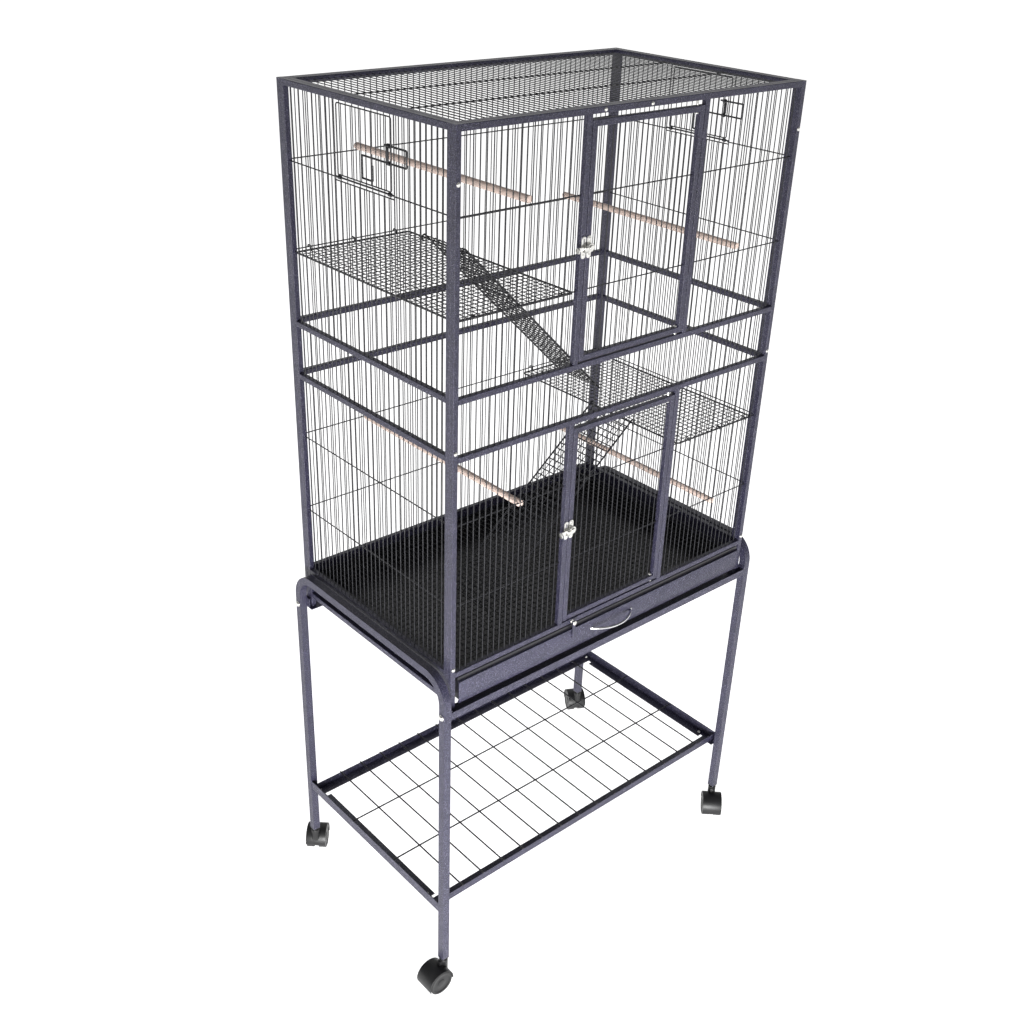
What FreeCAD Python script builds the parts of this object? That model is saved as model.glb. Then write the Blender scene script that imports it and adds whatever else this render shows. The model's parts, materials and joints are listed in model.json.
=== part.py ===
import FreeCAD, Part
import math
import os

V = FreeCAD.Vector
os.makedirs("parts", exist_ok=True)

# Cage, in millimetres: x to the right, y to the back, z up from the floor.
cage_width = 762.0
cage_depth = 457.0
cage_top = 1624.0
front_y = -224.0                      # front face of the cage
back_y = front_y + cage_depth
half_width = cage_width / 2

bar = 10.0                            # square tube of the panels and doors
bar_wall = 1.0
bar_corner = 1.0                      # radius of a tube's long edges
foot_z = 642.5                        # the panels' feet stand on the stand's rails
base_rail_z = 662.5                   # underside of each rail; the base rails are on the side panels only
floor_rail_z = 716.0
lower_mid_rail_z = 1119.0
upper_mid_rail_z = 1216.0
top_rail_z = cage_top - bar

# Wires
wire_r = 1.0
wire_pitch = 12.7
cross_half = 1.25                     # half the thickness of a cross wire
weld_strip = 0.6                      # half the height of the strip that joins the mid wires' ends
lower_levels = (854.0, 1005.0)        # cross wires of the lower section
upper_levels = (1347.0, 1497.0)       # cross wires of the upper section

# Doors
opening_half = 125.0                  # half the width of both door openings
door_half = 123.5
door_gap_below = 3.0
door_gap_above = 8.0
hinge_x = 109.0
hinge_y = front_y + bar / 2
pin_r = 2.0
running = 0.06                        # radial clearance of a running fit
latch_plate = 1.5
tongue_low_y = front_y - 6.8
tongue_high_y = front_y - 4.6
tongue_tip_x = -150.0

# Feeder doors, in the side panels
feeder_low_y = front_y + 150.0
feeder_high_y = front_y + 302.4
feeder_hinge_z = 1498.5
feeder_sill_z = 1494.0
feeder_hinge_r = 1.5
feeder_bolt_r = 1.6
feeder_bolt_inset = 3.2               # from the wires' plane towards the inside

# Base
tray_half = 360.0
tray_front_half = 366.0
tray_low_z = 663.0
tray_high_z = 704.0
tray_wall = 1.2
tray_front_y = front_y - 4.0
handle_half = 52.0
handle_out = 22.0
handle_r = 2.5
grate_low_z = 707.2
grate_high_z = 711.2
grate_pitch = 12.5                    # leaves the tray's catch between two wires
grate_cross_pitch = 44.4

# Stand
leg = 15.0
leg_wall = 1.2
leg_x = 395.5
leg_y = 227.5
leg_end_z = 68.0
stand_top = 725.0
bend_r = 47.5                         # of the tube's centre line
angle_thick = 1.5
cage_rail_z = foot_z - angle_thick
cage_rail_height = 15.0
cage_rail_flange = 32.0               # the panels' feet stand on it
weld_plate_height = 20.0              # plates where the cage rails meet the legs
shelf_rail_z = 185.0
shelf_rail_height = 20.0
shelf_rail_x = 402.0                  # outer face of the side rails
shelf_flange = 22.0
cross_rail_flange = 22.0
shelf_notch = 33.0                    # from a side rail's end to its notch
cross_rail_y = 210.0                  # outer face of the rails that lie on the side rails
cross_rail_height = 15.0
shelf_bolts_y = (-202.0, -172.0, 202.0)
shelf_wire_r = 1.5
shelf_wires = 14
shelf_wire_pitch = 51.7

# Casters
wheel_r = 25.0
wheel_low = 5.2                       # inner and outer face, from the middle of the caster
wheel_high = 20.8
trail = 20.0
stem_r = 4.0
axle_r = 3.0
hood_r = 28.3
web_half = 4.5


def save(name, solids):
    Part.makeCompound(solids).exportStep(f"parts/{name}.step")


def block(a, b):
    """Box between two opposite corners."""
    low = [min(p, q) for p, q in zip(a, b)]
    size = [abs(p - q) for p, q in zip(a, b)]
    return Part.makeBox(*size, V(*low))


def rod(a, b, r):
    return Part.makeCylinder(r, (b - a).Length, a, b - a)


def joined(shapes):
    return shapes[0].multiFuse(shapes[1:]).Solids[0]


def bent_wire(points, r):
    """Round wire through the points, with a ball at each turn."""
    runs = [rod(p, q, r) for p, q in zip(points, points[1:])]
    balls = [Part.makeSphere(r, p) for p in points[1:-1]]
    return joined(runs + balls)


def tube(a, b, along, cap=0.0):
    """Square tube along one axis, open at both ends unless its upper end has a cap."""
    outer = block(a, b)
    direction = V(*[1.0 if i == along else 0.0 for i in range(3)])
    edges = [e for e in outer.Edges if abs(e.tangentAt(e.FirstParameter).dot(direction)) > 0.99]
    outer = outer.makeFillet(bar_corner, edges)
    low = [min(p, q) + bar_wall for p, q in zip(a, b)]
    high = [max(p, q) - bar_wall for p, q in zip(a, b)]
    low[along] = min(a[along], b[along]) - 1
    high[along] = max(a[along], b[along]) + (1 if not cap else -cap)
    return outer.cut(block(low, high)).Solids[0]


# Each panel is drawn flat: u across it, v up it (towards the back on the top panel), n off its middle plane.

def on_front(u, v, n=0.0):
    return V(u, front_y + bar / 2 + n, v)


def on_back(u, v, n=0.0):
    return V(u, back_y - bar / 2 + n, v)


def on_left(u, v, n=0.0):
    return V(-half_width + bar / 2 + n, u, v)


def on_right(u, v, n=0.0):
    return V(half_width - bar / 2 - n, u, v)


def on_top(u, v, n=0.0):
    return V(u, v, cage_top - bar / 2 + n)


def spread(low, high, pitch):
    """Evenly spaced places between two edges, near the pitch, the edges left out."""
    count = max(2, round((high - low) / pitch))
    step = (high - low) / count
    return [low + step * i for i in range(1, count)]


def grille(place, u0, u1, v0, v1, levels, edge_wires=()):
    """Round wires along v, welded to cross wires, or to a thin strip at each end where there are none."""
    wires = [rod(place(u, v0), place(u, v1), wire_r) for u in spread(u0, u1, wire_pitch)]
    wires += [rod(place(u, v0), place(u, v1), cross_half) for u in edge_wires]
    if levels:
        bands = [(v - cross_half, v + cross_half) for v in levels]
    else:
        bands = [(v0, v0 + 2 * weld_strip), (v1 - 2 * weld_strip, v1)]
    bars = [block(place(u0, low, -cross_half), place(u1, high, cross_half)) for low, high in bands]
    return joined(bars + wires)


def panel_tubes(place, u0, u1, across, rails_z):
    """Two full-height stiles and the rails between them."""
    half = bar / 2
    tubes = []
    for inner, outer in ((u0 + bar, u0), (u1 - bar, u1)):
        tubes.append(tube(place(outer, foot_z, -half), place(inner, cage_top, half), 2, cap=1.5))
    for z in rails_z:
        tubes.append(tube(place(u0 + bar, z, -half), place(u1 - bar, z + bar, half), across))
    return tubes


panel_rails = (floor_rail_z, lower_mid_rail_z, upper_mid_rail_z, top_rail_z)
lower_section = (floor_rail_z + bar, lower_mid_rail_z)
mid_section = (lower_mid_rail_z + bar, upper_mid_rail_z)
upper_section = (upper_mid_rail_z + bar, top_rail_z)


def front_panel():
    tubes = panel_tubes(on_front, -half_width, half_width, 0, panel_rails)
    for low, high in (lower_section, upper_section):
        for side in (-1, 1):
            a = on_front(side * opening_half, low, -bar / 2)
            b = on_front(side * (opening_half + bar), high, bar / 2)
            tubes.append(tube(a, b, 2))
    save("front_panel_frame", tubes)
    inner = half_width - bar
    jamb = opening_half + bar
    wires = [grille(on_front, -inner, inner, *mid_section, ())]
    for section, levels in ((lower_section, lower_levels), (upper_section, upper_levels)):
        wires.append(grille(on_front, -inner, -jamb, *section, levels))
        wires.append(grille(on_front, jamb, inner, *section, levels))
    save("front_panel_wires", wires)


def back_panel():
    save("back_panel_frame", panel_tubes(on_back, -half_width, half_width, 0, panel_rails))
    inner = half_width - bar
    wires = [grille(on_back, -inner, inner, *mid_section, ())]
    wires.append(grille(on_back, -inner, inner, *lower_section, lower_levels))
    wires.append(grille(on_back, -inner, inner, *upper_section, upper_levels))
    save("back_panel_wires", wires)


def side_panel(name, place):
    """Side panel with a feeder opening in the upper section, its wires left open above the sill."""
    low, high = front_y + bar, back_y - bar
    save(f"{name}_panel_frame", panel_tubes(place, low, high, 1, (base_rail_z,) + panel_rails))
    low, high = low + bar, high - bar
    wires = [grille(place, low, high, *mid_section, ())]
    wires.append(grille(place, low, high, *lower_section, lower_levels))
    border = cross_half
    wires.append(grille(place, low, feeder_low_y, *upper_section, upper_levels, [feeder_low_y - border]))
    wires.append(grille(place, feeder_high_y, high, *upper_section, upper_levels, [feeder_high_y + border]))
    below = (upper_section[0], feeder_sill_z)
    sill_levels = (upper_levels[0], feeder_sill_z - cross_half)
    wires.append(grille(place, feeder_low_y, feeder_high_y, *below, sill_levels))
    save(f"{name}_panel_wires", wires)


def top_panel():
    u, low, high = half_width - bar, front_y + bar, back_y - bar
    half = bar / 2
    tubes = []
    for side in (-1, 1):
        tubes.append(tube(on_top(side * u, low, -half), on_top(side * (u - bar), high, half), 1))
    for v in (low, high - bar):
        tubes.append(tube(on_top(bar - u, v, -half), on_top(u - bar, v + bar, half), 0))
    save("top_panel_frame", tubes)
    low, high = low + bar, high - bar
    thirds = [low + (high - low) * k / 3 for k in (1, 2)]
    save("top_panel_wires", [grille(on_top, bar - u, u - bar, low, high, thirds)])


def door(name, section, levels):
    """Tube frame with wires. The pins run through its top and bottom tubes, inboard of the right stile."""
    low, high = section[0] + door_gap_below, section[1] - door_gap_above
    half, inner = bar / 2, door_half - bar
    tubes = []
    for side in (-1, 1):
        a = on_front(side * door_half, low, -half)
        b = on_front(side * inner, high, half)
        tubes.append(tube(a, b, 2, cap=1.5))
    hole = rod(V(hinge_x, hinge_y, low - 1), V(hinge_x, hinge_y, high + 1), pin_r + running)
    for z in (low, high - bar):
        rail = tube(on_front(-inner, z, -half), on_front(inner, z + bar, half), 0)
        tubes.append(rail.cut(hole).Solids[0])
    save(f"{name}_door_frame", tubes)
    save(f"{name}_door_wires", [grille(on_front, -inner, inner, low + bar, high - bar, levels)])
    latch(name, (low + high) / 2)


def hinge_pins():
    """A headed pin at the top and bottom of each door, with a collar under the door."""
    pins = []
    at = lambda z: V(hinge_x, hinge_y, z)
    for low, high in (lower_section, upper_section):
        door_low, door_high = low + door_gap_below, high - door_gap_above
        pin = rod(at(low), at(door_low + bar + 1), pin_r)
        collar = rod(at(low), at(door_low - 0.4), 3.6)
        head = rod(at(door_low + bar + 0.4), at(door_low + bar + 2.6), 3.4)
        pins.append(joined([pin, collar, head]))
        pin = rod(at(door_high - bar - 1), at(high), pin_r)
        head = rod(at(door_high - bar - 2.6), at(door_high - bar - 0.4), 3.4)
        pins.append(joined([pin, head]))
    save("door_hinge_pins", pins)


def latch(name, z):
    """Plate and pivot on the door's left stile, and the tongue that swings up on the pivot."""
    x = -door_half + bar / 2
    at = lambda y: V(x, y, z)
    plate = [block((x - 3.5, front_y - latch_plate, z - 13), (x + 3.5, front_y, z + 13))]
    for dz in (-13, 13):
        plate.append(rod(V(x, front_y, z + dz), V(x, front_y - latch_plate, z + dz), 4.8))
    plate.append(rod(at(front_y), at(tongue_high_y + 0.4), 6.5))
    plate.append(rod(at(front_y), at(tongue_low_y - 1), 2.5))
    plate.append(rod(at(tongue_low_y - 0.4), at(tongue_low_y - 2.2), 4.2))
    save(f"{name}_latch_plate", [joined(plate)])
    disc = rod(at(tongue_low_y), at(tongue_high_y), 7.0)
    arm = block((tongue_tip_x, tongue_low_y, z - 3.2), (x, tongue_high_y, z + 3.2))
    finger = block((tongue_tip_x, tongue_low_y - 6, z - 5), (tongue_tip_x + 2.2, tongue_high_y, z + 4))
    tongue = joined([disc, arm, finger])
    hole = rod(at(tongue_low_y - 1), at(tongue_high_y + 1), 2.5 + running)
    save(f"{name}_latch_tongue", [tongue.cut(hole).Solids[0]])


def latch_catches():
    """On each left jamb: a plate with a slot, and a hook open at the top that holds the tongue."""
    catches = []
    x = -opening_half - bar / 2
    for low, high in (lower_section, upper_section):
        z = (low + door_gap_below + high - door_gap_above) / 2
        parts = [block((x - 4.5, front_y - latch_plate, z - 13), (x + 4.5, front_y, z + 13))]
        for dz in (-13, 13):
            parts.append(rod(V(x, front_y, z + dz), V(x, front_y - latch_plate, z + dz), 4.5))
        parts.append(block((x - 4, tongue_low_y - 3, z - 6.2), (x + 4, front_y, z - 3.7)))
        parts.append(block((x - 4, tongue_low_y - 3, z - 6.2), (x + 4, tongue_low_y - 0.6, z + 2.5)))
        slot = block((x - 1.2, front_y - latch_plate - 1, z + 5), (x + 1.2, front_y + 1, z + 13))
        catches.append(joined(parts).cut(slot).Solids[0])
    save("latch_catches", catches)


def feeder(name, place):
    """Wire door on the sill wire, with the clip that its bolt slides in."""
    low, high = feeder_low_y + 6, feeder_high_y - 6
    bottom, top = feeder_hinge_z + 4, top_rail_z - 5
    frame = [block(place(low, z - cross_half, -cross_half), place(high, z + cross_half, cross_half))
             for z in (bottom, top)]
    uprights = spread(low, high, wire_pitch)
    frame += [rod(place(u, bottom), place(u, top), wire_r) for u in uprights]
    frame += [rod(place(u, bottom), place(u, top + cross_half), cross_half) for u in (low, high)]
    for u in (low + 1, high - 7):
        sleeve = rod(place(u, feeder_hinge_z), place(u + 6, feeder_hinge_z), feeder_hinge_r + 1.6)
        frame.append(sleeve)
    bore = rod(place(low - 1, feeder_hinge_z), place(high + 1, feeder_hinge_z), feeder_hinge_r + running)
    body = joined(frame).cut(bore)
    levels = (feeder_hinge_z + 43.5, feeder_hinge_z + 68.5)
    n = feeder_bolt_inset
    seat = wire_r - 0.1
    clip = block(place(low + 7, levels[0] - 4, seat), place(low + 13, levels[1] + 4, n + 3.2))
    for z in levels:
        clip = clip.cut(rod(place(low, z, n), place(low + 20, z, n), feeder_bolt_r + running))
    strap = block(place(low + 7, levels[0] + 8, -cross_half), place(low + 13, levels[1] - 8, seat))
    save(f"feeder_door_{name}", [joined([body.Solids[0], strap, clip.Solids[0]])])
    tip, end = low - 33, low + 19
    points = [(low + 52, levels[0] - 11), (low + 52, levels[0] - 34), (low + 79, levels[0] - 34),
              (low + 79, levels[0]), (tip, levels[0]), (tip, levels[1]), (end, levels[1])]
    save(f"feeder_bolt_{name}", [bent_wire([place(u, v, n) for u, v in points], feeder_bolt_r)])


def feeder_hinge_wires():
    wires = [rod(place(feeder_low_y, feeder_hinge_z), place(feeder_high_y, feeder_hinge_z), feeder_hinge_r)
             for place in (on_left, on_right)]
    save("feeder_hinge_wires", wires)


platform_gap = 0.4                    # between a platform's edge and the panel frames
upper_platform_x = (-half_width + bar + platform_gap, -132.0)
lower_platform_x = (157.0, half_width - bar - platform_gap)
platform_y = (front_y + bar + platform_gap, back_y - bar - platform_gap)
upper_platform_z = upper_levels[0] - 4
lower_platform_z = lower_levels[1] - 5
platform_cross_pitch = 21.8           # keeps the cross wires clear of the ramps' curls
hook_r = 1.3
rim = 2.0                             # half the thickness of a platform's or ramp's rim
curl_r = 3.9                          # inner radius of a ramp's curl
rung_r = 1.3
ramp_end = 4.0                        # from a ramp's end to its first rung
perch_r = 6.0


def mesh_sheet(place, u0, u1, v0, v1, pitch, cross_pitch):
    """Rectangular rim filled with wires along v and finer cross wires along u."""
    edges = []
    for u in (u0 + rim, u1 - rim):
        edges.append(block(place(u - rim, v0, -rim), place(u + rim, v1, rim)))
    for v in (v0 + rim, v1 - rim):
        edges.append(block(place(u0, v - rim, -rim), place(u1, v + rim, rim)))
    wires = [rod(place(u, v0 + rim), place(u, v1 - rim), wire_r) for u in spread(u0 + rim, u1 - rim, pitch)]
    bars = []
    for v in spread(v0, v1, cross_pitch):
        a = place(u0 + rim, v - cross_half, -cross_half)
        b = place(u1 - rim, v + cross_half, cross_half)
        bars.append(block(a, b))
    return joined(edges + bars + wires)


def between_wires(low, high, near):
    """Middle of the gap between two upright wires of a grille."""
    step = (high - low) / round((high - low) / wire_pitch)
    return low + step * (math.floor((near - low) / step) + 0.5)


def platform(name, span, z, level):
    """Mesh that hangs by six hooks on a cross wire of the front panel and one of the back panel."""
    flat = lambda u, v, n=0.0: V(u, v, z + n)
    shapes = [mesh_sheet(flat, *span, *platform_y, wire_pitch, platform_cross_pitch)]
    top = level + cross_half + hook_r + 0.05
    edge = half_width - bar
    jamb = opening_half + bar
    front = (-edge, -jamb) if span[0] < 0 else (jamb, edge)
    for share in (0.12, 0.5, 0.88):
        near = span[0] + (span[1] - span[0]) * share
        for section, rim_y, out in ((front, platform_y[0], -1), ((-edge, edge), platform_y[1], 1)):
            x = between_wires(*section, near)
            inside, outside = rim_y - 0.2 * out, rim_y + 8.0 * out
            route = [V(x, inside, z), V(x, inside, top), V(x, outside, top), V(x, outside, top - 4)]
            shapes.append(bent_wire(route, hook_r))
    save(f"{name}_platform", [joined(shapes)])


def ramp(name, top_x, top_z, foot_x, foot_z, low_y, high_y):
    """Sloping mesh whose two side wires curl over the platform's edge wire at the top."""
    run, drop = foot_x - top_x, top_z - foot_z
    length = math.hypot(run, drop)
    along = V(run / length, 0, -drop / length)
    place = lambda u, v: V(top_x, u, top_z) + along * v
    shapes = [rod(place(u, 0), place(u, length), rim) for u in (low_y, high_y)]
    curl_z = top_z - curl_r - rim
    for u in (low_y, high_y):
        ring = rod(V(top_x, u - rim, curl_z), V(top_x, u + rim, curl_z), curl_r + rim)
        hole = rod(V(top_x, u - 3, curl_z), V(top_x, u + 3, curl_z), curl_r)
        below = block((top_x - 20, u - 4, top_z - 30), (top_x + 20, u + 4, curl_z - 1))
        shapes.append(ring.cut(hole).cut(below).Solids[0])
    rungs = spread(0, length, 2 * wire_pitch) + [ramp_end, length - ramp_end]
    shapes += [rod(place(low_y, v), place(high_y, v), rung_r) for v in rungs]
    for u in spread(low_y, high_y, wire_pitch):
        shapes.append(rod(place(u, ramp_end), place(u, length - ramp_end), wire_r))
    save(name, [joined(shapes)])


def perch(name, x, z):
    reach = bar / 2 + cross_half + 0.05
    save(name, [rod(V(x, front_y + reach, z), V(x, back_y - reach, z), perch_r)])


def tray():
    """Sheet metal pan: a floor and four walls, with a wider plate on its front."""
    front, back, side = tray_front_y + 2, back_y - 14, tray_half
    low, top = tray_low_z + tray_wall, tray_high_z
    pan = [block((-side, front, tray_low_z), (side, back, low))]
    for x in (-side, side - tray_wall):
        pan.append(block((x, front, low), (x + tray_wall, back, top)))
    for y in (front, back - tray_wall):
        pan.append(block((-side + tray_wall, y, low), (side - tray_wall, y + tray_wall, top)))
    save("tray", pan)
    plate = block((-tray_front_half, tray_front_y, tray_low_z), (tray_front_half, front, tray_high_z + 2))
    save("tray_front", [plate])
    sweep_r = (handle_half ** 2 + handle_out ** 2) / (2 * handle_out)
    z = (tray_low_z + tray_high_z) / 2 + 4
    centre = V(0, tray_front_y - handle_out + sweep_r, z)
    half_angle = math.degrees(math.asin(handle_half / sweep_r)) + 2
    start = math.radians(270 - half_angle)
    radial = V(math.cos(start), math.sin(start), 0)
    ring = Part.makeCircle(handle_r, centre + radial * sweep_r, V(-radial.y, radial.x, 0))
    bow = Part.Face(Part.Wire(ring)).revolve(centre, V(0, 0, 1), 2 * half_angle)
    behind = block((-80, tray_front_y, z - 10), (80, tray_front_y + 40, z + 10))
    save("tray_handle", [bow.cut(behind).Solids[0]])


def tray_catch():
    """Tab on a screw in the floor rail; it hangs in front of the tray and turns aside."""
    x, z = -101.0, floor_rail_z + bar / 2
    at = lambda y: V(x, front_y - y, z)
    screw = joined([rod(at(0), at(8.5), 2.0), rod(at(8), at(9.6), 4.4)])
    save("tray_catch_screw", [screw])
    strip = block((x - 3.7, front_y - 7.6, z - 34), (x + 3.7, front_y - 6.1, z))
    tab = joined([strip, rod(at(6.1), at(7.6), 3.7)])
    save("tray_catch", [tab.cut(rod(at(5), at(9), 2.0 + running)).Solids[0]])


def floor_grate():
    low_y, high_y = front_y, back_y - 13
    half = tray_half - 2
    mid = (grate_low_z + grate_high_z) / 2
    flat = lambda u, v, n=0.0: V(u, v, mid + n)
    sheet = mesh_sheet(flat, -half, half, low_y, high_y, grate_pitch, grate_cross_pitch)
    lip = block((-tray_front_half, low_y, grate_low_z), (tray_front_half, low_y + 1.5, grate_low_z + 7))
    save("floor_grate", [joined([sheet, lip])])


def tray_housing():
    """Tabs that the tray slides on, ledges for the grate, and the sheet behind them."""
    solids = []
    wall = half_width - bar
    inner = tray_half - 8
    ledge = grate_low_z - 0.5
    low_y, high_y = front_y + 12, back_y - 12
    for side in (-1, 1):
        upright = block((side * (wall - 1.5), low_y, ledge - 16), (side * wall, high_y, floor_rail_z + 6))
        shelf = block((side * inner, low_y, ledge - 1.5), (side * wall, high_y, ledge))
        solids.append(joined([upright, shelf]))
        low = base_rail_z - 1.5
        for y in (front_y + 30, front_y + cage_depth / 2, back_y - 30):
            solids.append(block((side * inner, y - 8, low), (side * (wall + 5), y + 8, base_rail_z)))
    solids.append(block((-wall, back_y - bar - 1.5, base_rail_z), (wall, back_y - bar, floor_rail_z + 6)))
    save("tray_housing", solids)


def side_frame(name, x):
    """One square tube bent into an upside-down U, with round corners at the top."""
    top = stand_top - leg / 2
    turn = top - bend_r
    ends = leg_y - bend_r

    def bent(half, past_end):
        shapes = [block((x - half, -ends, top - half), (x + half, ends, top + half))]
        for side in (-1, 1):
            low, high = side * leg_y - half, side * leg_y + half
            shapes.append(block((x - half, low, leg_end_z - past_end), (x + half, high, turn)))
            face = Part.Face(Part.makePolygon([V(x - half, low, turn), V(x + half, low, turn),
                                               V(x + half, high, turn), V(x - half, high, turn),
                                               V(x - half, low, turn)]))
            shapes.append(face.revolve(V(x, side * ends, turn), V(1, 0, 0), side * 90))
        return joined(shapes)

    save(name, [bent(leg / 2, 0).cut(bent(leg / 2 - leg_wall, 1)).removeSplitter().Solids[0]])


def angle_rail(start, end, outward, height, flange, inset=0.0, notch=0.0):
    """Angle iron on edge: one flange upright on the outer side, the other flat, inwards from its foot."""
    length = (end - start).Length
    direction = (end - start) * (1 / length)
    place = lambda s, n, z: start + direction * s - outward * n + V(0, 0, z)
    upright = block(place(0, 0, 0), place(length, angle_thick, height))
    flat = block(place(inset, 0, 0), place(length - inset, flange, angle_thick))
    rail = joined([upright, flat]).removeSplitter()
    if notch:
        for s in (notch, length - notch):
            rail = rail.cut(block(place(s - 7, flange - 9, -1), place(s + 7, flange + 1, height)))
    return rail.Solids[0]


def cage_rails():
    """Rails under the front and the back of the cage, with a plate against the leg at each end."""
    between, outer = leg_x - leg / 2, leg_y + leg / 2
    solids = []
    for side in (-1, 1):
        y, z = side * outer, cage_rail_z
        ends = V(-between, y, z), V(between, y, z)
        rail = angle_rail(*ends, V(0, side, 0), cage_rail_height, cage_rail_flange)
        plates = [block((x, y, z), (x + math.copysign(1.5, -x), y - side * 24, z + weld_plate_height))
                  for x in (-between, between)]
        solids.append(joined([rail] + plates))
    save("stand_rails", solids)


def shelf_rails():
    """Side rails between the legs, and two rails that lie across their flat flanges."""
    end = leg_y - leg / 2
    solids = []
    for side in (-1, 1):
        x, z = side * shelf_rail_x, shelf_rail_z
        ends = V(x, -end, z), V(x, end, z)
        solids.append(angle_rail(*ends, V(side, 0, 0), shelf_rail_height, shelf_flange, notch=shelf_notch))
    reach = shelf_rail_x - angle_thick - 0.2
    for side in (-1, 1):
        y, z = side * cross_rail_y, shelf_rail_z + angle_thick
        ends = V(-reach, y, z), V(reach, y, z)
        solids.append(angle_rail(*ends, V(0, side, 0), cross_rail_height, cross_rail_flange))
    save("shelf_rails", solids)


def stand():
    for name, side in (("left", -1), ("right", 1)):
        side_frame(f"stand_side_{name}", side * leg_x)
    cage_rails()
    shelf_rails()


def shelf_grid():
    """Long wires across the front and back shelf rails, and two cross wires under them."""
    z = shelf_rail_z + angle_thick + cross_rail_height + shelf_wire_r + 0.02
    first = -shelf_wire_pitch * (shelf_wires - 1) / 2
    solids = []
    for i in range(shelf_wires):
        x = first + shelf_wire_pitch * i
        solids.append(rod(V(x, -cross_rail_y, z), V(x, cross_rail_y, z), shelf_wire_r))
    low, reach = z - 2 * shelf_wire_r, shelf_rail_x - angle_thick - 0.5
    for y in (-70, 70):
        solids.append(rod(V(-reach, y, low), V(reach, y, low), shelf_wire_r))
    save("shelf_grid", solids)


def bolts():
    """Round heads of the bolts in the panels, in the legs and in the shelf rails."""
    heads = []
    for x in (-half_width + bar / 2, half_width - bar / 2):
        for z in (734.0, 1137.0, 1544.0):
            for y, out in ((front_y, -1), (back_y, 1)):
                heads.append(rod(V(x, y, z), V(x, y + 2.0 * out, z), 3.4))
    for x in (-100.0, 0.0):
        heads.append(rod(V(x, front_y, top_rail_z + bar / 2), V(x, front_y - 2, top_rail_z + bar / 2), 3.0))
    save("panel_bolts", heads)
    heads = []
    for side in (-1, 1):
        face, z = side * (leg_x + leg / 2), cage_rail_z + cage_rail_height / 2
        for y in (-leg_y, leg_y):
            heads.append(rod(V(face, y, z), V(face + side * 3.5, y, z), 5.5))
        for y in shelf_bolts_y:
            x, z = side * (shelf_rail_x - 9), shelf_rail_z + angle_thick
            if abs(y) > cross_rail_y - cross_rail_flange:
                z += angle_thick
            heads.append(rod(V(x, y, z), V(x, y, z + 3), 3.6))
    save("stand_bolts", heads)


def leg_plugs():
    plugs = []
    inner = leg / 2 - leg_wall - 0.05
    for x in (-leg_x, leg_x):
        for y in (-leg_y, leg_y):
            body = block((x - inner, y - inner, leg_end_z), (x + inner, y + inner, leg_end_z + 20))
            flange = block((x - leg / 2, y - leg / 2, leg_end_z - 2), (x + leg / 2, y + leg / 2, leg_end_z))
            plug = joined([body, flange])
            bore = rod(V(x, y, leg_end_z - 3), V(x, y, leg_end_z + 21), stem_r + running)
            plugs.append(plug.cut(bore).Solids[0])
    save("leg_plugs", plugs)


def caster(name, x, y, heading):
    """Twin-wheel caster. It is built with its stem on the z axis and its wheels trailing to +x."""
    side = V(0, 1, 0)
    hub = lambda w: V(trail, w, wheel_r)
    hood = Part.makeCylinder(hood_r, 43, hub(-21.5), side)
    hood = hood.cut(block((-20, -30, -10), (trail + 40, 30, wheel_r - 3)))
    boss = rod(V(0, 0, 36), V(0, 0, 64), 8.5)
    web = Part.makeCylinder(22, 2 * web_half, hub(-web_half), side)
    body = joined([hood, boss, web])
    for low in (web_half, -24):
        body = body.cut(Part.makeCylinder(wheel_r + 1, 24 - web_half, hub(low), side))
    body = body.cut(rod(hub(-30), hub(30), axle_r))
    body = body.cut(rod(V(0, 0, 50), V(0, 0, 70), stem_r))
    stem = rod(V(0, 0, 50), V(0, 0, leg_end_z + 18), stem_r)
    axle = rod(hub(-19), hub(19), axle_r)
    pieces = {f"caster_hood_{name}": [max(body.Solids, key=lambda s: s.Volume), stem, axle]}
    for label, sign in (("a", -1), ("b", 1)):
        low = wheel_low if sign > 0 else -wheel_high
        wheel = Part.makeCylinder(wheel_r, wheel_high - wheel_low, hub(low), side)
        rims = [e for e in wheel.Edges if e.Closed and e.Length > 6 * wheel_r]
        wheel = wheel.makeFillet(2.0, rims)
        outer = hub(wheel_high * sign)
        dish = Part.makeCylinder(16, 1.5, outer - side * (1.5 if sign > 0 else 0), side)
        hole = rod(hub(-30), hub(30), axle_r + running)
        pieces[f"caster_wheel_{name}_{label}"] = [wheel.cut(dish).cut(hole).Solids[0]]
    for node, solids in pieces.items():
        for solid in solids:
            solid.rotate(V(0, 0, 0), V(0, 0, 1), heading)
            solid.translate(V(x, y, 0))
        save(node, solids)


front_panel()
back_panel()
side_panel("left", on_left)
side_panel("right", on_right)
top_panel()
door("lower", lower_section, lower_levels)
door("upper", upper_section, upper_levels)
hinge_pins()
latch_catches()
feeder("left", on_left)
feeder("right", on_right)
feeder_hinge_wires()
platform("upper", upper_platform_x, upper_platform_z, upper_levels[0])
platform("lower", lower_platform_x, lower_platform_z, lower_levels[1])
ramp("upper_ramp", upper_platform_x[1] - rim, upper_platform_z + 6, 222.0, lower_platform_z + 5, 58.0, 172.0)
lower_ramp_foot = grate_high_z + rim + 0.5
ramp("lower_ramp", lower_platform_x[0] + rim, lower_platform_z + 6, -195.0, lower_ramp_foot, -94.0, 16.0)
perch("perch_upper_left", -237.0, 1504.0)
perch("perch_upper_right", 255.0, 1356.0)
perch("perch_lower_left", -232.0, 1003.0)
perch("perch_lower_right", 276.0, 845.0)
tray()
tray_catch()
floor_grate()
tray_housing()
stand()
shelf_grid()
bolts()
leg_plugs()
caster("front_left", -leg_x, -leg_y, 180.0)
caster("front_right", leg_x, -leg_y, 225.0)
caster("back_left", -leg_x, leg_y, 47.0)
caster("back_right", leg_x, leg_y, 61.0)
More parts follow.
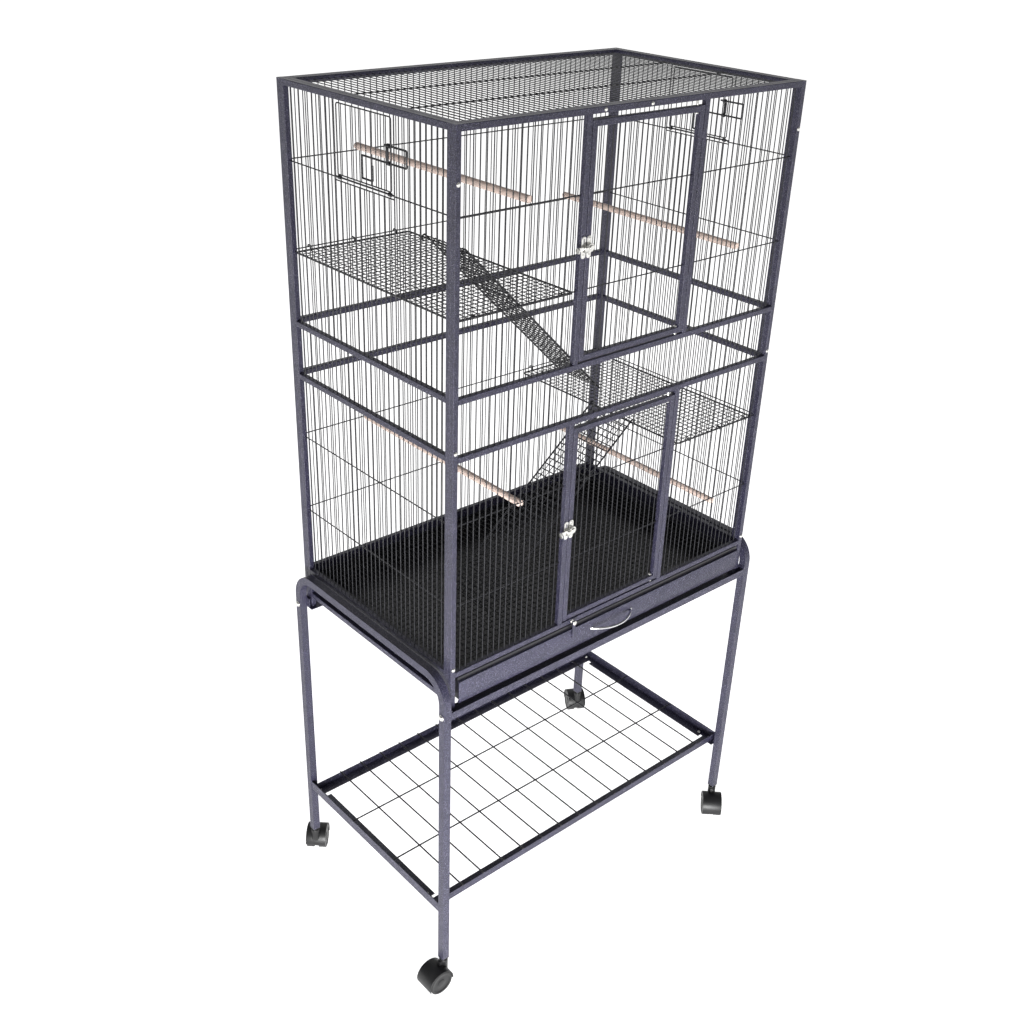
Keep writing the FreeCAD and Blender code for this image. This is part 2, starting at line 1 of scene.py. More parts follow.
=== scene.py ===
import json
import math
import bpy
from mathutils import Matrix, Vector


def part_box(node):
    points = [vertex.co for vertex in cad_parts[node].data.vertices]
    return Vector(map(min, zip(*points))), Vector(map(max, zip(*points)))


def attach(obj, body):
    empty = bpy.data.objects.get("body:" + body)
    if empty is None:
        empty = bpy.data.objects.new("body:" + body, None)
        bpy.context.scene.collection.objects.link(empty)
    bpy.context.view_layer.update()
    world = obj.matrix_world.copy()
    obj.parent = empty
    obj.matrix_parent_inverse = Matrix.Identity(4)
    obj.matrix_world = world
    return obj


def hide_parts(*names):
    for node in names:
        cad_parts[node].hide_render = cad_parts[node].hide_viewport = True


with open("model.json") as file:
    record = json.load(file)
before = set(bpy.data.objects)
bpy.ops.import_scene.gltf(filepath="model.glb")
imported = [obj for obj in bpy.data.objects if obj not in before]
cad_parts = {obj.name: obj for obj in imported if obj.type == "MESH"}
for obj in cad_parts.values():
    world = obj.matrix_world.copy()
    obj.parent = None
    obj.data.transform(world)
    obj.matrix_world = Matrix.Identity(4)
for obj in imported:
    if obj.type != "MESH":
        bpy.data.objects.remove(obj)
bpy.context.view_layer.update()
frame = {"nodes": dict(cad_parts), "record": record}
print("frame loaded:", len(frame["nodes"]), "nodes")

# The cage's own measures, in metres, the same as the solid model's
cage = {
    "halfWidth": 0.381, "front": -0.224, "back": 0.233, "top": 1.624,
    "bar": 0.010, "rails": (0.716, 1.119, 1.216, 1.614), "doorway": 0.125,
    "wire": 0.0009, "crossWire": 0.0011, "pitch": 0.0127,
    "lowerLevels": (0.854, 1.005), "upperLevels": (1.347, 1.497),
}
nodeBody = {node: body for body, nodes in frame["record"]["behaviour"]["bodies"].items() for node in nodes}
nodeSlot = {part["node"]: part["material_slot"] for part in frame["record"]["subparts"]}
jointNamed = {joint["name"]: joint for joint in frame["record"]["behaviour"]["joints"]}


class Signal:
    # a socket that can be used in Python sums
    def __init__(self, paint, socket):
        self.paint = paint
        self.socket = socket

    def math(self, operation, first, second):
        return self.paint.node("ShaderNodeMath", {"operation": operation}, {0: first, 1: second})

    def __add__(self, other):
        return self.math("ADD", self, other)

    def __sub__(self, other):
        return self.math("SUBTRACT", self, other)

    def __rsub__(self, other):
        return self.math("SUBTRACT", other, self)

    def __mul__(self, other):
        return self.math("MULTIPLY", self, other)

    __radd__ = __add__
    __rmul__ = __mul__


class Paint:
    # one material, its main shader and the nodes behind it
    def __init__(self, name, **fixed):
        self.material = bpy.data.materials.new(name)
        self.material.use_nodes = True
        self.tree = self.material.node_tree
        self.shader = self.tree.nodes["Principled BSDF"]
        self.place = self.node("ShaderNodeTexCoord", out="Object")
        for words, value in fixed.items():
            self.feed(words, value)

    def node(self, kind, settings=None, inputs=None, out=0):
        node = self.tree.nodes.new(kind)
        for key, value in (settings or {}).items():
            setattr(node, key, value)
        for key, value in (inputs or {}).items():
            self.join(value, node.inputs[key])
        return Signal(self, node.outputs[out])

    def join(self, value, socket):
        if isinstance(value, Signal):
            self.tree.links.new(value.socket, socket)
        else:
            socket.default_value = value

    def feed(self, words, value):
        # baseColor -> Base Color
        spaced = "".join(" " + c if c.isupper() else c for c in words).title()
        self.join(value, self.shader.inputs[spaced])

    def stretched(self, scale):
        return self.node("ShaderNodeMapping", {}, {"Vector": self.place, "Scale": scale})

    def noise(self, scale, detail=3.0, vector=None):
        settings = {"Vector": vector or self.place, "Scale": scale, "Detail": detail}
        return self.node("ShaderNodeTexNoise", {}, settings, out="Fac")

    def cells(self, scale, out="Distance"):
        return self.node("ShaderNodeTexVoronoi", {}, {"Vector": self.place, "Scale": scale}, out=out)

    def ramp(self, value, low, high):
        # 0 below low, 1 above high
        return self.node("ShaderNodeMapRange", {}, {"Value": value, "From Min": low, "From Max": high})

    def mix(self, factor, first, second):
        return self.node("ShaderNodeMix", {"data_type": "RGBA"}, {0: factor, 6: first, 7: second}, out=2)

    def bump(self, height, strength, distance):
        inputs = {"Height": height, "Strength": strength, "Distance": distance}
        self.feed("normal", self.node("ShaderNodeBump", {}, inputs))


hammerCoat = {"dark": (0.018, 0.017, 0.036, 1), "light": (0.048, 0.044, 0.092, 1),
              "fleck": (0.44, 0.43, 0.56, 1), "dimples": 420, "flecks": 1300, "rough": 0.40}


def makeHammerCoat():
    paint = Paint("hammeredCoat", metallic=0.10, coatRoughness=0.10, coatWeight=0.12)
    dimples = paint.cells(hammerCoat["dimples"])
    cloud = paint.noise(38, 4.0)
    base = paint.mix(paint.ramp(dimples + cloud * 0.5, 0.25, 0.85), hammerCoat["light"], hammerCoat["dark"])
    flecks = paint.ramp(paint.noise(hammerCoat["flecks"], 1.0), 0.65, 0.72)
    paint.feed("baseColor", paint.mix(flecks, base, hammerCoat["fleck"]))
    paint.feed("roughness", hammerCoat["rough"] + cloud * 0.14 + flecks * 0.08)
    paint.bump(dimples, 0.35, 0.0004)
    return paint.material


wireCoat = {"dark": (0.005, 0.005, 0.007, 1), "light": (0.016, 0.016, 0.021, 1), "rough": 0.30}


def makeWireCoat():
    paint = Paint("wireCoat", coatWeight=0.15, coatRoughness=0.2)
    cloud = paint.noise(60, 4.0)
    paint.feed("baseColor", paint.mix(cloud, wireCoat["dark"], wireCoat["light"]))
    paint.feed("roughness", wireCoat["rough"] + cloud * 0.2)
    paint.bump(paint.noise(900, 2.0), 0.15, 0.0002)
    return paint.material


def makeZinc():
    paint = Paint("zincPlate", metallic=1.0)
    spangle = paint.cells(350, out="Color")
    cloud = paint.noise(120, 4.0)
    shade = paint.node("ShaderNodeRGBToBW", {}, {"Color": spangle})
    grey = paint.mix(shade, (0.74, 0.73, 0.70, 1), (0.95, 0.94, 0.90, 1))
    paint.feed("baseColor", grey)
    paint.feed("roughness", 0.2 + cloud * 0.22)
    paint.bump(paint.noise(700, 3.0), 0.12, 0.0002)
    return paint.material


def makeChrome():
    paint = Paint("polishedChrome", metallic=1.0)
    smear = paint.noise(90, 3.0)
    paint.feed("baseColor", paint.mix(smear, (0.80, 0.81, 0.83, 1), (0.93, 0.93, 0.94, 1)))
    paint.feed("roughness", 0.05 + smear * 0.09)
    return paint.material


def makeBlackPlastic():
    paint = Paint("mouldedBlack")
    cloud = paint.noise(75, 3.0)
    paint.feed("baseColor", paint.mix(cloud, (0.003, 0.003, 0.0035, 1), (0.011, 0.011, 0.012, 1)))
    paint.feed("roughness", 0.34 + cloud * 0.16)
    paint.bump(paint.noise(1600, 2.0), 0.25, 0.0002)
    return paint.material


def makeDowelWood():
    paint = Paint("dowelWood")
    along = paint.stretched((260, 9, 260))
    grain = paint.noise(1.0, 6.0, along)
    pores = paint.ramp(paint.noise(1.0, 2.0, paint.stretched((1500, 60, 1500))), 0.56, 0.72)
    base = paint.mix(grain, (0.88, 0.73, 0.66, 1), (0.74, 0.56, 0.48, 1))
    paint.feed("baseColor", paint.mix(pores * 0.4, base, (0.48, 0.31, 0.24, 1)))
    paint.feed("roughness", 0.55 + grain * 0.2)
    paint.bump(grain - pores * 0.5, 0.3, 0.0004)
    return paint.material


def makeFloorWhite():
    paint = Paint("floorWhite", roughness=0.7, emissionStrength=studio["floorGlow"])
    paint.feed("emissionColor", (1.0, 1.0, 1.0, 1))
    paint.feed("baseColor", paint.mix(paint.noise(2.0), (0.88, 0.88, 0.88, 1), (0.92, 0.92, 0.92, 1)))
    return paint.material


slotMaterial = {
    "frame_coat": makeHammerCoat(), "wire_coat": makeWireCoat(), "zinc": makeZinc(),
    "chrome": makeChrome(), "black_plastic": makeBlackPlastic(), "perch_wood": makeDowelWood(),
}
print("materials made")


def clearSelection():
    if bpy.context.object and bpy.context.object.mode != "OBJECT":
        bpy.ops.object.mode_set(mode="OBJECT")
    bpy.ops.object.select_all(action="DESELECT")


def choose(*pieces):
    clearSelection()
    for piece in pieces:
        piece.select_set(True)
    bpy.context.view_layer.objects.active = pieces[0]


def settle(piece):
    # the place goes into the mesh, and the object sits at the origin
    choose(piece)
    bpy.ops.object.transform_apply(location=True, rotation=True, scale=True)
    return piece


def joinAll(pieces):
    choose(*pieces)
    if len(pieces) > 1:
        bpy.ops.object.join()
    return bpy.context.object


def useModifier(piece, kind, **settings):
    choose(piece)
    tool = piece.modifiers.new(kind.lower(), kind)
    for key, value in settings.items():
        setattr(tool, key, value)
    bpy.ops.object.modifier_apply(modifier=tool.name)
    return piece


def easeEdges(piece, width, segments=2, angle=35):
    return useModifier(piece, "BEVEL", width=width, segments=segments, limit_method="ANGLE",
                       angle_limit=math.radians(angle), harden_normals=False)


def wire(start, end, radius, sides=8):
    start, end = Vector(start), Vector(end)
    span = end - start
    clearSelection()
    middle = (start + end) / 2
    bpy.ops.mesh.primitive_cylinder_add(vertices=sides, radius=radius, depth=span.length, location=middle,
                                        rotation=span.to_track_quat("Z", "X").to_euler())
    return settle(bpy.context.object)


def wireRow(start, end, radius, step, count, sides=8):
    # one wire, then its copies, a step apart
    first = wire(start, end, radius, sides)
    return useModifier(first, "ARRAY", count=count, use_relative_offset=False, use_constant_offset=True,
                       constant_offset_displace=step)


def cap(start, end, radius, ease, sides=32):
    # turned piece with eased ends
    return easeEdges(wire(start, end, radius, sides), ease, 3)


def slab(low, high, ease=0.0):
    clearSelection()
    low, high = Vector(low), Vector(high)
    bpy.ops.mesh.primitive_cube_add(size=1, location=(low + high) / 2)
    piece = bpy.context.object
    piece.scale = high - low
    settle(piece)
    return easeEdges(piece, ease) if ease else piece


def pickFaces(piece, test):
    choose(piece)
    bpy.ops.object.mode_set(mode="EDIT")
    bpy.ops.mesh.select_mode(type="FACE")
    bpy.ops.mesh.select_all(action="DESELECT")
    bpy.ops.object.mode_set(mode="OBJECT")
    for face in piece.data.polygons:
        face.select = test(face)
    bpy.ops.object.mode_set(mode="EDIT")


def pickEdges(piece, test):
    choose(piece)
    bpy.ops.object.mode_set(mode="EDIT")
    bpy.ops.mesh.select_mode(type="EDGE")
    bpy.ops.mesh.select_all(action="DESELECT")
    bpy.ops.object.mode_set(mode="OBJECT")
    points = piece.data.vertices
    for edge in piece.data.edges:
        edge.select = test(*[points[i].co for i in edge.vertices])
    bpy.ops.object.mode_set(mode="EDIT")


def roundedPlate(low, high, corner, ease, flat="y"):
    # thin plate with round corners seen along its flat axis
    piece = slab(low, high)
    axis = "xyz".index(flat)
    pickEdges(piece, lambda a, b: abs(a[axis] - b[axis]) > 1e-5)
    bpy.ops.mesh.bevel(offset=corner, segments=7, affect="EDGES")
    bpy.ops.object.mode_set(mode="OBJECT")
    return easeEdges(piece, ease)


def bentWire(points, radius, bend, resolution=3):
    # a chain of edges with rounded turns, given its thickness as a curve
    clearSelection()
    chain = bpy.data.meshes.new("chain")
    chain.from_pydata([tuple(p) for p in points], [(i, i + 1) for i in range(len(points) - 1)], [])
    piece = bpy.data.objects.new("chain", chain)
    bpy.context.collection.objects.link(piece)
    choose(piece)
    if len(points) > 2:
        bpy.ops.object.mode_set(mode="EDIT")
        bpy.ops.mesh.select_all(action="SELECT")
        bpy.ops.mesh.bevel(offset=bend, segments=6, affect="VERTICES")
        bpy.ops.object.mode_set(mode="OBJECT")
    bpy.ops.object.convert(target="CURVE")
    piece = bpy.context.object
    piece.data.bevel_depth = radius
    piece.data.bevel_resolution = resolution
    piece.data.use_fill_caps = True
    bpy.ops.object.convert(target="MESH")
    piece = bpy.context.object
    bpy.ops.object.mode_set(mode="EDIT")
    bpy.ops.mesh.select_all(action="SELECT")
    bpy.ops.mesh.remove_doubles(threshold=0.00001)
    bpy.ops.mesh.normals_make_consistent(inside=False)
    bpy.ops.object.mode_set(mode="OBJECT")
    return piece


def finishPiece(piece, name, node, angle=40):
    # name, finish, body and the solid that it stands for
    settle(piece)
    piece.name = name
    bpy.ops.object.shade_smooth_by_angle(angle=math.radians(angle))
    piece.data.materials.clear()
    piece.data.materials.append(slotMaterial[nodeSlot[node]])
    for face in piece.data.polygons:
        face.material_index = 0
    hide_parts(node)
    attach(piece, nodeBody[node])
    return piece


def onFront(u, v, n=0.0):
    return Vector((u, cage["front"] + cage["bar"] / 2 + n, v))


def onBack(u, v, n=0.0):
    return Vector((u, cage["back"] - cage["bar"] / 2 - n, v))


def onLeft(u, v, n=0.0):
    return Vector((-cage["halfWidth"] + cage["bar"] / 2 + n, u, v))


def onRight(u, v, n=0.0):
    return Vector((cage["halfWidth"] - cage["bar"] / 2 - n, u, v))


def onTop(u, v, n=0.0):
    return Vector((u, v, cage["top"] - cage["bar"] / 2 - n))


def wireField(place, u0, u1, v0, v1, levels, edges=()):
    # upright wires between two rails, with cross wires welded on their inner side
    count = max(2, round((u1 - u0) / cage["pitch"]))
    step = (u1 - u0) / count
    first = u0 + step
    shift = place(first + step, v0) - place(first, v0)
    wires = [wireRow(place(first, v0), place(first, v1), cage["wire"], shift, count - 1)]
    depth = cage["wire"] + cage["crossWire"] - 0.0003
    for level in levels:
        wires.append(wire(place(u0, level, depth), place(u1, level, depth), cage["crossWire"], 10))
    for u in edges:
        wires.append(wire(place(u, v0), place(u, v1), cage["crossWire"], 10))
    return wires


def railSpans():
    low, lowMid, highMid, top = cage["rails"]
    bar = cage["bar"]
    return {"lower": (low + bar, lowMid), "mid": (lowMid + bar, highMid), "upper": (highMid + bar, top)}


spans = railSpans()
inner = cage["halfWidth"] - cage["bar"]
jamb = cage["doorway"] + cage["bar"]


def frontWires():
    wires = wireField(onFront, -inner, inner, *spans["mid"], ())
    for side in ("lower", "upper"):
        levels = cage[side + "Levels"]
        wires += wireField(onFront, -inner, -jamb, *spans[side], levels)
        wires += wireField(onFront, jamb, inner, *spans[side], levels)
    finishPiece(joinAll(wires), "frontWires", "front_panel_wires")


def backWires():
    wires = wireField(onBack, -inner, inner, *spans["mid"], ())
    for side in ("lower", "upper"):
        wires += wireField(onBack, -inner, inner, *spans[side], cage[side + "Levels"])
    finishPiece(joinAll(wires), "backWires", "back_panel_wires")


feeder = {"low": cage["front"] + 0.150, "high": cage["front"] + 0.3024, "sill": 1.494, "hinge": 1.4985,
          "inset": 0.0032, "boltWire": 0.0016, "boltBend": 0.0018}


def sideWires(side, place):
    low, high = cage["front"] + 2 * cage["bar"], cage["back"] - 2 * cage["bar"]
    levels = cage["upperLevels"]
    wires = wireField(place, low, high, *spans["mid"], ())
    wires += wireField(place, low, high, *spans["lower"], cage["lowerLevels"])
    edge = cage["crossWire"]
    wires += wireField(place, low, feeder["low"], *spans["upper"], levels, edges=[feeder["low"] - edge])
    wires += wireField(place, feeder["high"], high, *spans["upper"], levels, edges=[feeder["high"] + edge])
    below = (spans["upper"][0], feeder["sill"])
    wires += wireField(place, feeder["low"], feeder["high"], *below, (levels[0],))
    sill = feeder["sill"] - edge
    wires.append(wire(place(feeder["low"], sill), place(feeder["high"], sill), edge, 10))
    finishPiece(joinAll(wires), side + "Wires", side + "_panel_wires")


def topWires():
    u = inner - cage["bar"]
    low, high = cage["front"] + 2 * cage["bar"], cage["back"] - 2 * cage["bar"]
    thirds = [low + (high - low) * k / 3 for k in (1, 2)]
    finishPiece(joinAll(wireField(onTop, -u, u, low, high, thirds)), "topWires", "top_panel_wires")


def doorWires(side):
    low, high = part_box(side + "_door_frame")
    bar = cage["bar"]
    field = wireField(onFront, low.x + bar, high.x - bar, low.z + bar, high.z - bar, cage[side + "Levels"])
    finishPiece(joinAll(field), side + "DoorWires", side + "_door_wires")


frontWires()
backWires()
sideWires("left", onLeft)
sideWires("right", onRight)
topWires()
doorWires("lower")
doorWires("upper")
print("panel and door wires done")


mesh = {"rim": 0.0017, "wire": 0.0008, "hook": 0.0013, "hookShares": (0.12, 0.5, 0.88), "hookReach": 0.008,
        "grateHalfWidth": 0.358}


def meshSheet(low, high, z):
    # rim wire round the edge, and a square mesh of fine wires in it
    pitch, rim = cage["pitch"], mesh["rim"]
    x0, x1, y0, y1 = low.x + rim, high.x - rim, low.y + rim, high.y - rim
    corners = [(x0 + 0.02, y0, z), (x1, y0, z), (x1, y1, z), (x0, y1, z), (x0, y0, z), (x0 + 0.022, y0, z)]
    parts = [bentWire(corners, rim, 0.006)]
    acrossX, acrossY = max(2, round((x1 - x0) / pitch)), max(2, round((y1 - y0) / pitch))
    stepX, stepY = (x1 - x0) / acrossX, (y1 - y0) / acrossY
    r = mesh["wire"]
    x, top = x0 + stepX, z + r / 2
    parts.append(wireRow((x, y0, top), (x, y1, top), r, (stepX, 0, 0), acrossX - 1))
    parts.append(wireRow((x0, y0 + stepY, z - r), (x1, y0 + stepY, z - r), r, (0, stepY, 0), acrossY - 1))
    return parts


def betweenWires(low, high, near):
    # middle of the gap between two upright wires
    step = (high - low) / round((high - low) / cage["pitch"])
    return low + step * (math.floor((near - low) / step) + 0.5)


def platform(side, sections, level):
    low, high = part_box(side + "_platform")
    y0, y1 = cage["front"] + cage["bar"] + 0.0004, cage["back"] - cage["bar"] - 0.0004
    z, top = low.z + 0.002, level + 0.0026
    parts = meshSheet(Vector((low.x, y0, z)), Vector((high.x, y1, z)), z)
    for share in mesh["hookShares"]:  # hooks over the panels' cross wires
        near = low.x + (high.x - low.x) * share
        for section, y, out in ((sections[0], y0, -1), (sections[1], y1, 1)):
            x = betweenWires(*section, near)
            inside, outside = y - 0.0002 * out, y + mesh["hookReach"] * out
            route = [(x, inside, z), (x, inside, top), (x, outside, top), (x, outside, top - 0.004)]
            parts.append(bentWire(route, mesh["hook"], 0.002))
    finishPiece(joinAll(parts), side + "Platform", side + "_platform")


def floorGrate():
    low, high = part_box("floor_grate")
    half, z = mesh["grateHalfWidth"], low.z + 0.002
    parts = meshSheet(Vector((-half, low.y, z)), Vector((half, high.y, z)), z)
    lip = slab((low.x, low.y, low.z), (high.x, low.y + 0.0015, high.z), 0.0005)
    parts.append(lip)
    finishPiece(joinAll(parts), "floorGrate", "floor_grate")


ramps = {
    "upper": {"top": (-0.134, 1.349), "foot": (0.222, 1.005), "sides": (0.058, 0.172)},
    "lower": {"top": (0.159, 1.006), "foot": (-0.195, 0.7137), "sides": (-0.094, 0.016)},
}


def ramp(side):
    values = ramps[side]
    top = Vector((values["top"][0], 0, values["top"][1]))
    foot = Vector((values["foot"][0], 0, values["foot"][1]))
    way = (foot - top).normalized()
    length = (foot - top).length
    rim, r = mesh["rim"], mesh["wire"]
    y0, y1 = values["sides"]
    parts = []
    turn = 1 if way.x > 0 else -1
    for y in (y0, y1):
        # the side wire ends in a curl over the platform's rim
        curl = [top + Vector((-turn * 0.0059 * math.sin(a), 0, -0.0059 + 0.0059 * math.cos(a)))
                for a in [math.radians(d) for d in range(165, -1, -15)]]
        line = [p + Vector((0, y, 0)) for p in curl + [foot]]
        parts.append(bentWire(line, rim, 0.001))
    rungs = max(2, round((length - 0.008) / cage["pitch"]))
    step = way * ((length - 0.008) / rungs)
    start = top + way * 0.004
    parts.append(wireRow(start + Vector((0, y0, 0)), start + Vector((0, y1, 0)), 0.0012, step, rungs + 1))
    across = round((y1 - y0) / cage["pitch"])
    gap = (y1 - y0) / across
    lift = Vector((-way.z, 0, way.x)) * (0.0018 * turn)
    low = start + Vector((0, y0 + gap, 0)) + lift
    parts.append(wireRow(low, low + way * (length - 0.008), r, (0, gap, 0), across - 1))
    finishPiece(joinAll(parts), side + "Ramp", side + "_ramp")


platform("upper", ((-inner, -jamb), (-inner, inner)), cage["upperLevels"][0])
platform("lower", ((jamb, inner), (-inner, inner)), cage["lowerLevels"][1])
floorGrate()
ramp("upper")
ramp("lower")
print("platforms, grate and ramps done")


latch = {"plateHalf": 0.0048, "thick": 0.0015, "boss": 0.0065, "pin": 0.0025, "head": 0.0042,
         "rivet": 0.0021, "rivetAt": 0.0128, "disc": 0.007, "catchHalf": 0.0045, "catchTall": 0.0175}


def latchPlate(side):
    low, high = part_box(side + "_latch_plate")
    x, z, y = (low.x + high.x) / 2, (low.z + high.z) / 2, cage["front"]
    half, thick = latch["plateHalf"], latch["thick"]
    plate = roundedPlate((x - half, y - thick, low.z), (x + half, y, high.z), 0.0045, 0.0004)
    boss = cap((x, y, z), (x, y - 0.0042, z), latch["boss"], 0.0009)
    pin = cap((x, y, z), (x, y - 0.0078, z), latch["pin"], 0.0003)
    head = cap((x, y - 0.0072, z), (x, y - 0.009, z), latch["head"], 0.0011)
    rivets = [cap((x, y, z + d), (x, y - 0.0027, z + d), latch["rivet"], 0.0009, 20)
              for d in (-latch["rivetAt"], latch["rivetAt"])]
    finishPiece(joinAll([plate, boss, pin, head] + rivets), side + "LatchPlate", side + "_latch_plate")


def latchTongue(side):
    low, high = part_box(side + "_latch_tongue")
    y = cage["front"]
    x, z = high.x - 0.007, (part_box(side + "_latch_plate")[0].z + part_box(side + "_latch_plate")[1].z) / 2
    disc = cap((x, y - 0.0068, z), (x, y - 0.0046, z), latch["disc"], 0.0006, 40)
    bore = wire((x, y - 0.009, z), (x, y - 0.002, z), 0.00256, 24)
    useModifier(disc, "BOOLEAN", object=bore, operation="DIFFERENCE", solver="EXACT")
    bpy.data.objects.remove(bore)
    armLow, armHigh = (low.x, y - 0.0068, z - 0.0032), (x - 0.0045, y - 0.0046, z + 0.0032)
    arm = roundedPlate(armLow, armHigh, 0.0016, 0.0004)
    fingerLow, fingerHigh = (low.x, y - 0.0128, z - 0.005), (low.x + 0.0022, y - 0.005, z + 0.004)
    finger = roundedPlate(fingerLow, fingerHigh, 0.003, 0.0004, "x")
    finishPiece(joinAll([disc, arm, finger]), side + "LatchTongue", side + "_latch_tongue")


def latchCatches():
    parts = []
    low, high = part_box("latch_catches")
    x, y = (low.x + high.x) / 2, cage["front"]
    for side in ("lower", "upper"):
        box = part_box(side + "_latch_plate")
        z = (box[0].z + box[1].z) / 2
        half, tall = latch["catchHalf"], latch["catchTall"]
        plate = roundedPlate((x - half, y - latch["thick"], z - tall), (x + half, y, z + tall), 0.0042, 0.0004)
        slotLow, slotHigh = (x - 0.0012, y - 0.004, z + 0.005), (x + 0.0012, y + 0.002, z + 0.0135)
        slot = roundedPlate(slotLow, slotHigh, 0.001, 0.0002)
        useModifier(plate, "BOOLEAN", object=slot, operation="DIFFERENCE", solver="EXACT")
        bpy.data.objects.remove(slot)
        shelf = slab((x - 0.004, y - 0.0098, z - 0.0062), (x + 0.004, y, z - 0.0037), 0.0006)
        lipLow, lipHigh = (x - 0.004, y - 0.0098, z - 0.0062), (x + 0.004, y - 0.0074, z + 0.0025)
        lip = roundedPlate(lipLow, lipHigh, 0.0009, 0.0004, "x")
        rivet = cap((x, y, z - 0.0125), (x, y - 0.0028, z - 0.0125), 0.0022, 0.0009, 20)
        parts += [plate, shelf, lip, rivet]
    finishPiece(joinAll(parts), "latchCatches", "latch_catches")


def hingePins():
    parts = []
    x, y = 0.109, cage["front"] + cage["bar"] / 2
    for side in ("lower", "upper"):
        low, high = [corner.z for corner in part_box(side + "_door_frame")]
        bottom, top = spans[side]
        parts.append(cap((x, y, bottom), (x, y, low + 0.0115), 0.002, 0.0004, 20))
        parts.append(cap((x, y, bottom), (x, y, low - 0.0004), 0.0036, 0.0005, 24))
        parts.append(cap((x, y, low + 0.0104), (x, y, low + 0.0126), 0.0034, 0.0009, 24))
        parts.append(cap((x, y, high - 0.0115), (x, y, top), 0.002, 0.0004, 20))
        parts.append(cap((x, y, high - 0.0126), (x, y, high - 0.0104), 0.0034, 0.0009, 24))
    finishPiece(joinAll(parts), "doorHingePins", "door_hinge_pins")


for side in ("lower", "upper"):
    latchPlate(side)
    latchTongue(side)
latchCatches()
hingePins()
print("latches and hinge pins done")


def feederDoor(side, place):
    low, high = feeder["low"] + 0.006, feeder["high"] - 0.006
    bottom, top = feeder["hinge"] + 0.004, cage["rails"][3] - 0.005
    edge, r = cage["crossWire"], cage["wire"] - 0.0001
    corners = [(high, bottom), (low, bottom), (low, top), (high, top), (high, bottom + 0.001)]
    outline = [place(u, v) for u, v in corners]
    parts = [bentWire(outline, edge, 0.004)]
    count = round((high - low) / cage["pitch"])
    step = (high - low) / count
    shift = place(low + step, bottom) - place(low, bottom)
    parts.append(wireRow(place(low + step, bottom), place(low + step, top), r, shift, count - 1))
    for u in (low + 0.001, high - 0.007):  # rolled sleeves round the hinge wire
        sleeve = cap(place(u, feeder["hinge"]), place(u + 0.006, feeder["hinge"]), 0.0031, 0.0005, 24)
        bore = wire(place(u - 0.002, feeder["hinge"]), place(u + 0.008, feeder["hinge"]), 0.00156, 20)
        useModifier(sleeve, "BOOLEAN", object=bore, operation="DIFFERENCE", solver="EXACT")
        bpy.data.objects.remove(bore)
        parts.append(sleeve)
    n, levels = feeder["inset"], (feeder["hinge"] + 0.0435, feeder["hinge"] + 0.0685)
    clip = []
    for level in levels:  # eyes that the bolt slides through
        eye = cap(place(low + 0.007, level, n), place(low + 0.013, level, n), 0.0034, 0.0004, 24)
        bore = wire(place(low + 0.005, level, n), place(low + 0.015, level, n), 0.00166, 20)
        useModifier(eye, "BOOLEAN", object=bore, operation="DIFFERENCE", solver="EXACT")
        bpy.data.objects.remove(bore)
        clip.append(eye)
    strapFoot, strapTop = levels[0] + 0.0025, levels[1] - 0.0025
    strap = cornersOf(place(low + 0.007, strapFoot, -0.0005), place(low + 0.013, strapTop, 0.0012))
    clip.append(slab(*strap, 0.0004))
    finishPiece(joinAll(parts + clip), "feederDoor" + side.title(), "feeder_door_" + side)
    tip, end = low - 0.033, low + 0.019
    near, far, drop = low + 0.052, low + 0.079, levels[0] - 0.034
    route = [(near, levels[0] - 0.011), (near, drop), (far, drop), (far, levels[0]),
             (tip, levels[0]), (tip, levels[1]), (end, levels[1])]
    bolt = bentWire([place(u, v, n) for u, v in route], feeder["boltWire"], feeder["boltBend"], 4)
    finishPiece(bolt, "feederBolt" + side.title(), "feeder_bolt_" + side)


def cornersOf(a, b):
    return tuple(map(min, a, b)), tuple(map(max, a, b))


feederDoor("left", onLeft)
feederDoor("right", onRight)
print("feeder doors done")


trayParts = {"wall": 0.0012, "hem": 0.0018, "handleHalf": 0.052, "handleOut": 0.022, "handleWire": 0.0025}


def tray():
    low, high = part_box("tray")
    body = slab(low, high)
    pickFaces(body, lambda face: face.normal.z > 0.9)
    bpy.ops.mesh.delete(type="FACE")
    bpy.ops.object.mode_set(mode="OBJECT")
    useModifier(body, "SOLIDIFY", thickness=trayParts["wall"], offset=-1)
    easeEdges(body, 0.0005)
    x, z = high.x - 0.001, high.z - 0.0005
    rim = [(-x, low.y + 0.002, z), (-x, high.y - 0.001, z), (x, high.y - 0.001, z), (x, low.y + 0.002, z)]
    finishPiece(joinAll([body, bentWire(rim, trayParts["hem"] / 2, 0.002)]), "trayPan", "tray")


def trayFront():
    low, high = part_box("tray_front")
    plate = roundedPlate(low, high, 0.0015, 0.0007)
    folds = [slab((low.x + 0.001, low.y, z), (high.x - 0.001, low.y + 0.006, z + 0.0016), 0.0006)
             for z in (low.z, high.z - 0.0016)]
    finishPiece(joinAll([plate] + folds), "trayFront", "tray_front")


def trayHandle():
    low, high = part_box("tray_handle")
    half, out, r = trayParts["handleHalf"], trayParts["handleOut"], trayParts["handleWire"]
    z, y = (low.z + high.z) / 2, high.y
    sweep = (half ** 2 + out ** 2) / (2 * out)
    reach = math.asin(half / sweep)
    angles = [reach * (i / 12 - 1) for i in range(25)]
    points = [(sweep * math.sin(a), y - out + sweep * (1 - math.cos(a)), z) for a in angles]
    bow = bentWire(points, r, 0.0008, 5)
    feet = [cap((s * half, y - 0.0012, z), (s * half, y, z), 0.0034, 0.0005, 28) for s in (-1, 1)]
    finishPiece(joinAll([bow] + feet), "trayHandle", "tray_handle", angle=60)


